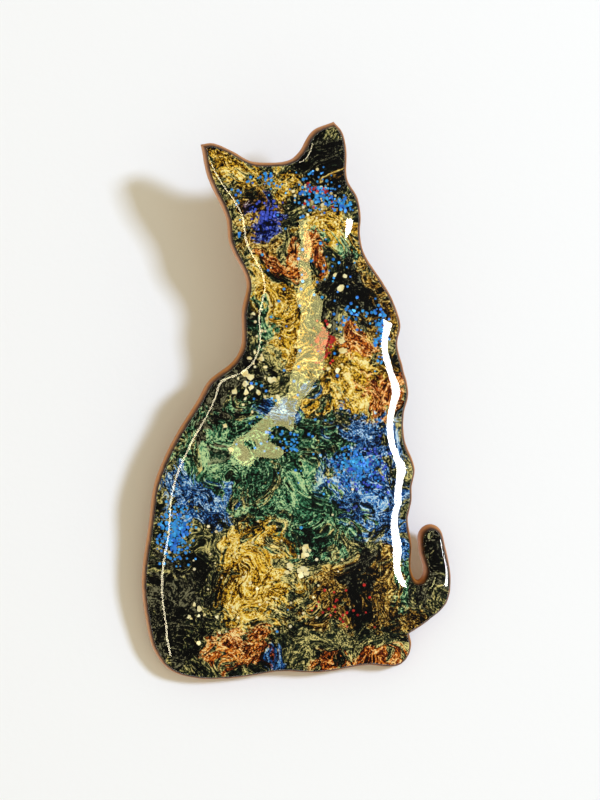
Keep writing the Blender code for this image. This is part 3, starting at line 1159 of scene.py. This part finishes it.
@dataclass
class CatFace:
    """The cat itself: the board, its paint skin and the clear dome, in the same layers as the CAD.

    Sizes are in mm. An edge is told from its back, as shares of the layer's thickness and mm inwards.
    """

    outline: CatOutline
    step: float = 0.3  # between points of the outline
    back_y: float = -4.0
    board_thick: float = 2.2
    board_edge: tuple[tuple[float, float], ...] = (
        (0.0, 0.12), (0.05, 0.03), (0.13, 0.0), (0.45, 0.1), (0.8, 0.27), (0.93, 0.4), (1.0, 0.5),
    )  # fmt: skip
    board_sharp: float = 25.0  # degrees
    ripple_height: float = 0.07
    ripples: float = 0.9  # per mm along the edge
    ripple_turns: float = 3.0  # across it
    wall_slope: float = 0.5
    layer_gap: float = 0.03
    skin_thick: float = 0.2
    skin_creep: float = 0.04
    skin_edge: tuple[tuple[float, float], ...] = (
        (0.0, 0.03), (0.25, 0.0), (0.7, 0.01), (0.9, 0.04), (1.0, 0.1),
    )  # fmt: skip
    round_sharp: float = 60.0  # degrees, for what has no corners
    dome_height: float = 1.0
    dome_reach: float = 2.4
    dome_rows: tuple[float, ...] = (0.012, 0.035, 0.07, 0.11, 0.17, 0.26, 0.38, 0.54, 0.74, 0.98, 1.26)
    dome_spacing: float = 0.45
    dome_clear: float = 1.5
    lip_height: float = 0.16
    lip_round: float = 0.14
    wave_height: float = 0.07
    wave_length: float = 8.0
    wave_layers: tuple[float, float] = (11.0, 37.0)  # where in the noise the two sets of waves are
    small_waves: float = 0.3  # their share of the height
    small_wave_count: float = 2.3  # for each large one

    def __post_init__(self) -> None:
        """Work out the layers' places."""
        self.board_loop = self.outline.loop(self.step)
        self.front_y = self.back_y - self.board_thick
        self.skin_y = self.front_y - self.layer_gap
        self.dome_y = self.skin_y - self.skin_thick - self.layer_gap
        self.resin_loop = self.outline.distinct(self.ring(0.0))

    def ring(self, inwards: float) -> np.ndarray:
        """The loop that far inside the resin's rim, with as many points as the board's."""
        return self.outline.inset(self.board_loop, self.wall_slope + self.skin_creep + inwards)

    def build_board(self, finish: Material) -> bpy.types.Object:
        """Build the board with its sanded, slightly uneven edge.

        Args:
            finish: Its material.

        Returns:
            The board, in place of the CAD blank.
        """
        rings = []
        for level, inwards in self.board_edge:
            loop = self.outline.inset(self.board_loop, inwards)
            height = self.ripple_height * math.sin(level * math.pi)
            ripple = [
                noise.noise(Vector((x * self.ripples, level * self.ripple_turns, z * self.ripples))) * height
                for x, z in loop
            ]
            rippled = loop - np.array(ripple)[:, None] * self.normals(loop)
            rings.append((rippled, self.back_y - level * self.board_thick))
        piece = add_piece("board", loft(rings), "root", finish, self.board_sharp)
        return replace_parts(piece, "base_blank")

    @staticmethod
    def normals(loop: np.ndarray) -> np.ndarray:
        """Work out the inward directions along a loop.

        Args:
            loop: The loop's points, anticlockwise.

        Returns:
            One direction of length 1 per point.
        """
        ahead = np.roll(loop, -1, axis=0) - np.roll(loop, 1, axis=0)
        length = np.maximum(np.linalg.norm(ahead, axis=1), FLAT)
        return np.stack((-ahead[:, 1], ahead[:, 0]), axis=1) / length[:, None]

    def build_skin(self, finish: Material) -> bpy.types.Object:
        """Build the paint skin with its rounded edge.

        Args:
            finish: Its material.

        Returns:
            The skin, in place of the CAD one.
        """
        rings = [
            (self.ring(inwards), self.skin_y - level * self.skin_thick)
            for level, inwards in self.skin_edge
        ]
        piece = add_piece("marbled_paint", loft(rings), "root", finish, self.round_sharp)
        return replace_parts(piece, "paint_skin")

    def build_dome(self, finish: Material) -> bpy.types.Object:
        """Build the clear dome as the film that a poured resin levels to, with its lip over the rim.

        Args:
            finish: Its material.

        Returns:
            The dome, in place of the CAD one.
        """
        rows = [self.ring(distance) for distance in self.dome_rows]
        film = Film.fill(self.resin_loop, rows, self.dome_spacing, self.dome_clear)
        inwards = CatOutline.distance(self.resin_loop, film.points)
        level = film.meniscus(self.dome_reach)
        turn = np.clip(inwards / self.lip_round, 0, 1)
        lip = self.lip_height * np.sqrt(1 - (1 - turn) ** 2)
        large, small = self.wave_layers
        waves = np.array([
            noise.noise(Vector((x, large, z)) / self.wave_length)
            + self.small_waves * noise.noise(Vector((x, small, z)) / self.wave_length * self.small_wave_count)
            for x, z in film.points
        ])  # fmt: skip
        heights = lip + self.dome_height * level + self.wave_height * waves * level
        shape = film.shape(heights, self.dome_y)
        rim = [e for e in shape.edges if e.is_boundary]
        skirt = bmesh.ops.extrude_edge_only(shape, edges=rim)["geom"]
        for vert in (g for g in skirt if isinstance(g, bmesh.types.BMVert)):
            vert.co.y = (self.dome_y + self.layer_gap) * MM
        bmesh.ops.recalc_face_normals(shape, faces=shape.faces)
        if sum(f.normal.y * f.calc_area() for f in shape.faces) > 0:
            bmesh.ops.reverse_faces(shape, faces=shape.faces)
        piece = add_piece("clear_dome", shape, "root", finish, self.round_sharp)
        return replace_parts(piece, "resin_dome")


@dataclass(frozen=True)
class Pinch:
    """One pinch of flecks: its foil, its middle and half sizes in mm, and how many flecks it has."""

    foil: str
    across: float
    up: float
    wide: float
    tall: float
    count: int


@dataclass
class Flecks:
    """Glitter and leaf sunk in the resin, just over the paint. Sizes are in mm."""

    face: CatFace
    glitter_size: float = 0.42
    glitter_sizes: tuple[float, float] = (0.55, 1.15)  # its least and most share of that
    glitter_sides: int = 6
    leaf_sizes: tuple[float, float] = (0.22, 0.62)
    leaf_reach: tuple[float, float] = (0.45, 1.0)  # its corners' least and most share of its size
    leaf_sides: int = 9
    thick: float = 0.03
    depth: float = 0.06  # under the dome's rim, at least
    depth_more: float = 0.22
    tilt: float = 0.14  # radians
    spread: float = 0.5  # how far a pinch scatters, as a share of its half size
    rim_clear: float = 0.7
    sharp: float = 30.0  # degrees
    seed: int = 7
    pinches: tuple[Pinch, ...] = (
        Pinch("sky", 2.0, 27.0, 3.6, 2.6, 120),
        Pinch("sky", -4.8, 28.8, 2.6, 1.2, 26),
        Pinch("sky", -9.0, 23.6, 1.0, 3.4, 26),
        Pinch("sky", 5.2, 25.4, 1.2, 1.2, 44),
        Pinch("sky", 2.8, 16.8, 4.5, 3.6, 26),
        Pinch("sky", 10.4, 8.4, 1.1, 3.2, 70),
        Pinch("sky", 6.5, 10.5, 4.5, 2.5, 40),
        Pinch("sky", 7.0, -9.8, 2.6, 2.6, 190),
        Pinch("sky", -17.4, -18.4, 2.3, 3.8, 250),
        Pinch("sky", -2.5, -6.2, 4.2, 1.9, 40),
        Pinch("sky", -2.0, 3.0, 12.0, 26.0, 60),
        Pinch("cobalt", -5.2, 24.1, 2.0, 1.9, 60),
        Pinch("cobalt", 8.6, -11.0, 4.0, 5.5, 60),
        Pinch("red", 2.6, 7.0, 1.2, 2.2, 130),
        Pinch("red", 2.0, 27.0, 3.0, 2.0, 20),
        Pinch("red", 4.0, -28.5, 4.5, 3.5, 26),
        Pinch("pale", 1.6, 26.6, 3.4, 2.4, 30),
        Pinch("pale", -8.0, 8.0, 4.0, 7.0, 60),
        Pinch("pale", -6.0, -24.0, 12.0, 12.0, 50),
        Pinch("leaf", -8.5, 3.5, 4.2, 6.5, 34),
        Pinch("leaf", 4.6, 15.0, 1.6, 1.6, 5),
        Pinch("leaf", 0.4, -21.5, 1.0, 1.0, 6),
        Pinch("leaf", -0.6, -24.0, 2.4, 1.0, 9),
        Pinch("leaf", -14.5, -29.0, 3.0, 4.0, 9),
        Pinch("leaf", 5.0, 7.0, 3.0, 4.0, 8),
    )

    def scatter(self, chance: random.Random, pinch: Pinch) -> list[tuple[float, float]]:
        """Drop a pinch of flecks.

        Args:
            chance: The seeded source of chance.
            pinch: The pinch.

        Returns:
            The flecks' (x, z) in mm, those too near the rim left out.
        """
        dropped = np.array([
            (
                pinch.across + chance.gauss(0, self.spread) * pinch.wide,
                pinch.up + chance.gauss(0, self.spread) * pinch.tall,
            )
            for _ in range(pinch.count)
        ])  # fmt: skip
        loop = self.face.resin_loop
        kept = CatOutline.inside(loop, dropped) & (CatOutline.distance(loop, dropped) > self.rim_clear)
        return [tuple(p) for p in dropped[kept]]

    def add_fleck(
        self, shape: Mesh, chance: random.Random, place: tuple[float, float], sides: list[float]
    ) -> None:
        """Add one flat, slightly tilted fleck.

        Args:
            shape: The mesh it goes in.
            chance: The seeded source of chance.
            place: Its (x, z) in mm.
            sides: The distance of each of its corners from its middle, in mm.
        """
        depth = self.depth + self.depth_more * chance.random()
        centre = Vector((place[0], self.face.dome_y - depth, place[1]))
        angles = chance.gauss(0, self.tilt), chance.uniform(0, math.tau), chance.gauss(0, self.tilt)
        turn = Euler(angles, "YXZ").to_matrix()
        rows = []
        for side in (-0.5, 0.5):
            row = []
            for i, reach in enumerate(sides):
                angle = math.tau * i / len(sides)
                flat = Vector((math.cos(angle) * reach, side * self.thick, math.sin(angle) * reach))
                row.append(shape.verts.new((centre + turn @ flat) * MM))
            rows.append(row)
        shape.faces.new(rows[0])
        shape.faces.new(rows[1][::-1])
        for i in range(len(sides)):
            shape.faces.new((rows[0][i - 1], rows[1][i - 1], rows[1][i], rows[0][i]))

    def build(self, foils: dict[str, Material]) -> None:
        """Build one piece of flecks per foil.

        Args:
            foils: The material of each foil.
        """
        for name, finish in foils.items():
            chance = random.Random(f"{self.seed}{name}")
            shape = bmesh.new()
            for pinch in (p for p in self.pinches if p.foil == name):
                for place in self.scatter(chance, pinch):
                    if name == "leaf":
                        size = chance.uniform(*self.leaf_sizes)
                        sides = [size * chance.uniform(*self.leaf_reach) for _ in range(self.leaf_sides)]
                    else:
                        size = self.glitter_size / 2 * chance.uniform(*self.glitter_sizes)
                        sides = [size] * self.glitter_sides
                    self.add_fleck(shape, chance, place, sides)
            bmesh.ops.recalc_face_normals(shape, faces=shape.faces)
            add_piece(f"flecks_{name}", shape, "root", finish, self.sharp)


# ---- the finding ---------------------------------------------------------------------------------------


@dataclass
class Finding:
    """The bar pin: its CAD solids in better metals, and the glue that holds it. Sizes are in mm."""

    bar_length: float = 20.0
    bar_width: float = 4.6
    bar_corner: float = 1.9
    glue_back_y: float = -3.97
    bar_front_y: float = -3.6
    bar_back_y: float = -2.9
    squeeze: float = 1.25  # how far the glue came out from under the bar
    wander: float = 0.35  # how far its rim wanders
    wanders: float = 1.7  # how often, in the noise's own measure
    wander_layer: float = 5.0  # where in the noise it is
    rim_points: int = 240
    halvings: int = 24  # to find a rim point
    glue_rows: tuple[float, ...] = (0.05, 0.12, 0.22, 0.35, 0.5, 0.7)
    glue_spacing: float = 0.4
    glue_clear: float = 0.8
    glue_reach: float = 0.45
    glue_fill: float = 0.92  # its share of the gap under the bar
    glue_under: float = 0.05  # how far inside the bar's outline it stops climbing
    glue_sink: float = 0.02
    fillet: float = 0.42
    fillet_fade: float = 0.35
    glue_hole_x: float = 4.6
    button_r: float = 1.25
    button_proud: float = 0.24
    button_flat: float = 0.8  # below 1 it is flatter than a ball
    button_steps: int = 10
    button_sides: int = 40
    button_neck: tuple[tuple[float, float], ...] = ((0.85, -0.02), (0.85, -0.6))  # radius and height
    round_sharp: float = 60.0  # degrees

    def bar_distance(self, points: np.ndarray) -> np.ndarray:
        """Measure how far points are from the bar's rounded rectangle.

        Args:
            points: The points (x, z) in mm.

        Returns:
            One distance in mm per point, negative inside.
        """
        half = np.array([self.bar_length / 2, self.bar_width / 2]) - self.bar_corner
        beyond = np.abs(points) - half
        outside = np.linalg.norm(np.maximum(beyond, 0), axis=1)
        return outside + np.minimum(beyond.max(axis=1), 0) - self.bar_corner

    def glue_loop(self) -> np.ndarray:
        """Draw the squeezed-out glue's wandering rim.

        Returns:
            Its points (x, z) in mm, anticlockwise.
        """
        points = []
        for i in range(self.rim_points):
            angle = math.tau * i / self.rim_points
            direction = np.array([math.cos(angle), math.sin(angle)])
            wander = noise.noise(Vector((*(direction * self.wanders), self.wander_layer)))
            target = self.squeeze + self.wander * wander
            low, high = 0.0, self.bar_length
            for _ in range(self.halvings):
                middle = (low + high) / 2
                if self.bar_distance((direction * middle)[None])[0] < target:
                    low = middle
                else:
                    high = middle
            points.append(direction * low)
        return np.array(points)

    def build_glue(self, finish: Material) -> None:
        """Build the glue pad with its fillet round the bar, and a button in each of the bar's holes.

        Args:
            finish: Their material.
        """
        loop = self.glue_loop()
        rows = [CatOutline().inset(loop, distance) for distance in self.glue_rows]
        film = Film.fill(loop, rows, self.glue_spacing, self.glue_clear)
        beyond = self.bar_distance(film.points)
        under = self.bar_front_y - self.glue_back_y
        swell = film.meniscus(self.glue_reach)
        climb = self.fillet * np.exp(-np.maximum(beyond, 0) / self.fillet_fade)
        climb[beyond < -self.glue_under] = 0.0
        heights = (under * self.glue_fill + climb) * swell
        shape = film.shape(-heights, self.glue_back_y)
        skirt = bmesh.ops.extrude_edge_only(shape, edges=[e for e in shape.edges if e.is_boundary])["geom"]
        for vert in (g for g in skirt if isinstance(g, bmesh.types.BMVert)):
            vert.co.y = (self.glue_back_y - self.glue_sink) * MM
        bmesh.ops.recalc_face_normals(shape, faces=shape.faces)
        pad = add_piece("glue_pad", shape, "root", finish, self.round_sharp)
        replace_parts(pad, "adhesive_pad")
        turns = [math.pi / 2 * k / self.button_steps for k in range(self.button_steps + 1)]
        crown = [
            (self.button_r * math.sin(turn) ** self.button_flat, self.button_proud * math.cos(turn))
            for turn in turns
        ]
        for side, x in (("left", -self.glue_hole_x), ("right", self.glue_hole_x)):
            button = turned([*crown, *self.button_neck], self.button_sides)
            bmesh.ops.rotate(button, verts=button.verts, matrix=Matrix.Rotation(-math.pi / 2, 3, "X"))
            bmesh.ops.translate(button, verts=button.verts, vec=Vector((x, self.bar_back_y, 0)) * MM)
            add_piece(f"glue_button_{side}", button, "root", finish, self.round_sharp)

    @staticmethod
    def dress(nodes: dict[str, bpy.types.Object], finishes: dict[str, Material]) -> None:
        """Give the finding's CAD solids their metals.

        Args:
            nodes: The CAD nodes by name.
            finishes: The material for each node's name.
        """
        for name, finish in finishes.items():
            mesh = nodes[name].data
            mesh.materials.clear()
            mesh.materials.append(finish)
            mesh.shade_smooth()
            mesh.set_sharp_from_angle(angle=math.radians(SHARP))
            LOG.info("dressed %s in %s", name, finish.name)


# ---- the studio ----------------------------------------------------------------------------------------


class Seen(Enum):
    """What a lamp is for: to light the scene, to be mirrored in the resin, or both."""

    LIGHTS = (True, False)
    MIRRORED = (False, True)
    BOTH = (True, True)


@dataclass(frozen=True)
class Lamp:
    """A soft rectangular lamp. Its place is seen from the cat: off the camera's line and round it."""

    name: str
    off: float  # degrees off the camera's line
    round: float  # degrees round it, from the right and upwards
    away: float  # mm
    wide: float  # mm, in the direction off the camera's line
    tall: float  # mm
    power: float  # W
    colour: str
    seen: Seen = Seen.BOTH


@dataclass
class Studio:
    """White card behind the brooch, soft lamps and the camera."""

    aim: tuple[float, float, float] = (-0.54, -6.5, -0.7)
    azimuth: float = -5.5
    elevation: float = 4.0
    distance: float = 400.0
    lens: float = 134.0
    card_low: tuple[float, float] = (-3.93, -38.75)  # y and z where the card touches the board's foot
    card_high: tuple[float, float] = (1.72, 0.0)  # y and z where it touches the finding
    card_size: float = 700.0
    clip_start: float = 10.0  # mm
    room: str = "#d3c8ae"  # what lights the scene
    sight: str = "#f3f3f2"  # what the camera sees past the card
    mirrored_span: Span = Span(0.0, 0.4, 0.06, 0.5)  # what is mirrored, from the front to the rear
    lamps: tuple[Lamp, ...] = (
        Lamp("key", 49.0, 22.0, 1400.0, 220.0, 220.0, 17.2, "#cfe1ff", Seen.LIGHTS),
        Lamp("window", 39.0, -10.5, 520.0, 84.0, 128.0, 1.14, "#ffffff", Seen.MIRRORED),
        Lamp("door_gap", 14.0, 180.0, 520.0, 19.0, 640.0, 0.62, "#fff3cc", Seen.MIRRORED),
        Lamp("ceiling_panel", 11.32, -24.5, 420.0, 23.0, 78.0, 0.060, "#efe79a", Seen.MIRRORED),
        Lamp("rear_panel", 205.0, 30.0, 600.0, 400.0, 400.0, 2.2, "#fffaf2"),
    )

    def axes(self) -> tuple[Vector, Vector, Vector]:
        """Work out the camera's directions.

        Returns:
            The directions from the brooch towards the camera, to the camera's right and up.
        """
        a, e = math.radians(self.azimuth), math.radians(self.elevation)
        back = Vector((math.sin(a) * math.cos(e), -math.cos(a) * math.cos(e), math.sin(e)))
        right = Vector((0, 0, 1)).cross(back).normalized()
        return back, right, back.cross(right)

    def build_camera(self) -> None:
        """Set up the camera."""
        back, _, _ = self.axes()
        data = bpy.data.cameras.new("camera")
        data.lens = self.lens
        data.clip_start = self.clip_start * MM
        camera = bpy.data.objects.new("camera", data)
        bpy.context.scene.collection.objects.link(camera)
        camera.location = (Vector(self.aim) + back * self.distance) * MM
        camera.rotation_euler = back.to_track_quat("Z", "Y").to_euler()
        bpy.context.scene.camera = camera

    def build_card(self, finish: Material) -> None:
        """Lean the card against the board's foot and the finding.

        Args:
            finish: Its material.
        """
        (low_y, low_z), (high_y, high_z) = self.card_low, self.card_high
        up = Vector((0, high_y - low_y, high_z - low_z)).normalized()
        middle = Vector((0, (low_y + high_y) / 2, (low_z + high_z) / 2))
        half = self.card_size / 2
        across = Vector((1, 0, 0))
        corner_signs = ((-1, -1), (1, -1), (1, 1), (-1, 1))
        places = [(middle + across * (half * i) + up * (half * j)) * MM for i, j in corner_signs]
        mesh = bpy.data.meshes.new("card")
        mesh.from_pydata(places, [], [range(len(places))])
        mesh.materials.append(finish)
        card = bpy.data.objects.new("card", mesh)
        bpy.context.scene.collection.objects.link(card)

    def build_lamps(self) -> None:
        """Hang the lamps, one of them behind for the finding."""
        back, right, up = self.axes()
        for lamp in self.lamps:
            off, turn = math.radians(lamp.off), math.radians(lamp.round)
            sideways = right * math.cos(turn) + up * math.sin(turn)
            towards = back * math.cos(off) + sideways * math.sin(off)
            self.hang(lamp, towards, sideways)

    def hang(self, lamp: Lamp, towards: Vector, sideways: Vector) -> None:
        """Hang one lamp facing the brooch.

        Args:
            lamp: The lamp.
            towards: Its direction from the brooch.
            sideways: The direction that its width is nearest to.
        """
        data = bpy.data.lights.new(lamp.name, "AREA")
        data.shape = "RECTANGLE"
        data.size = lamp.wide * MM
        data.size_y = lamp.tall * MM
        data.energy = lamp.power
        data.color = linear(lamp.colour)[:3]
        thing = bpy.data.objects.new(lamp.name, data)
        bpy.context.scene.collection.objects.link(thing)
        wide = (sideways - towards * sideways.dot(towards)).normalized()
        tall = towards.cross(wide)
        turn = Matrix((wide, tall, towards)).transposed().to_4x4()
        thing.matrix_world = Matrix.Translation((Vector(self.aim) + towards * lamp.away) * MM) @ turn
        thing.visible_camera = False
        thing.visible_diffuse, thing.visible_glossy = lamp.seen.value

    def build_sky(self) -> None:
        """Fill the room with dim warm light.

        The camera sees it pale. What is mirrored is dark in front, where the resin mirrors it, and pale at
        the rear, where the finding's metals do.
        """
        world = bpy.data.worlds.new("room")
        bpy.context.scene.world = world
        world.use_nodes = True
        tree = world.node_tree
        tree.nodes.clear()
        path = add_node(tree, "ShaderNodeLightPath").outputs
        warm = add_node(tree, "ShaderNodeBackground", sockets={"Color": linear(self.room)}).outputs[0]
        towards = add_node(tree, "ShaderNodeTexCoord").outputs["Generated"]
        rear = add_node(tree, "ShaderNodeSeparateXYZ", sockets={0: towards}).outputs["Y"]
        level = add_node(tree, "ShaderNodeMapRange", sockets=self.mirrored_span.sockets(rear)).outputs[0]
        dark = add_node(tree, "ShaderNodeBackground", sockets={"Color": level}).outputs[0]
        pale = add_node(tree, "ShaderNodeBackground", sockets={"Color": linear(self.sight)}).outputs[0]
        mirrored = add_node(
            tree, "ShaderNodeMixShader", sockets={0: path["Is Glossy Ray"], 1: warm, 2: dark}
        ).outputs[0]
        mixed = add_node(
            tree, "ShaderNodeMixShader", sockets={0: path["Is Camera Ray"], 1: mirrored, 2: pale}
        ).outputs[0]
        add_node(tree, "ShaderNodeOutputWorld", sockets={"Surface": mixed})

    def build(self) -> None:
        """Set up the whole studio."""
        self.build_camera()
        self.build_card(PaperStock().make())
        self.build_lamps()
        self.build_sky()
        bpy.context.scene.view_settings.view_transform = "Standard"
        LOG.info("set up the studio")


# ---- all together --------------------------------------------------------------------------------------


def main() -> None:
    """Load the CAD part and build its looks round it."""
    logging.basicConfig(level=logging.INFO, format="%(name)s: %(message)s")
    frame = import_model()

    face = CatFace(CatOutline())
    face.build_board(SealedBoard().make())
    face.build_skin(MarbledAcrylic().make())
    face.build_dome(ClearEpoxy().make())
    # Dyed polyester glitter in saturated colours, and crumbs of leaf that read as pale gold.
    # Each foil's first colour is its painted highlight, its second the deeper colour of flecks that catch no
    # light.
    Flecks(face).build({
        "sky": Foil("sky_blue_foil", "#34b0fc", "#0a6eea").make(),
        "cobalt": Foil("cobalt_foil", "#3a5cf0", "#1226a8").make(),
        "red": Foil("red_foil", "#e81c1c", "#8c060a").make(),
        "pale": Foil("champagne_foil", "#fff4d2", "#e6cf90").make(),
        "leaf": Foil("imitation_gold_leaf", "#fff6cc", "#f2dc94", 0.1).make(),
    })  # fmt: skip

    # Stamped steel with a warm, slightly dulled nickel plate; stainless wire, whiter and smoother.
    steel = Metal("nickel_plated_steel", "#d8d4cc", "#a9a59c", 0.24, (0.6, 9.0, 9.0)).make()
    wire = Metal("drawn_steel_wire", "#dcdcdc", "#b4b4b2", 0.18, (0.3, 14.0, 14.0)).make()
    finding = Finding()
    finding.build_glue(CuredGlue().make())
    finding.dress(
        frame["nodes"],
        {
            "brooch_bar": steel,
            "hinge_rivet": steel,
            "catch_housing": steel,
            "lock_roller": steel,
            "pin_stem": wire,
        },
    )
    Studio().build()


if __name__ == "__main__":
    main()
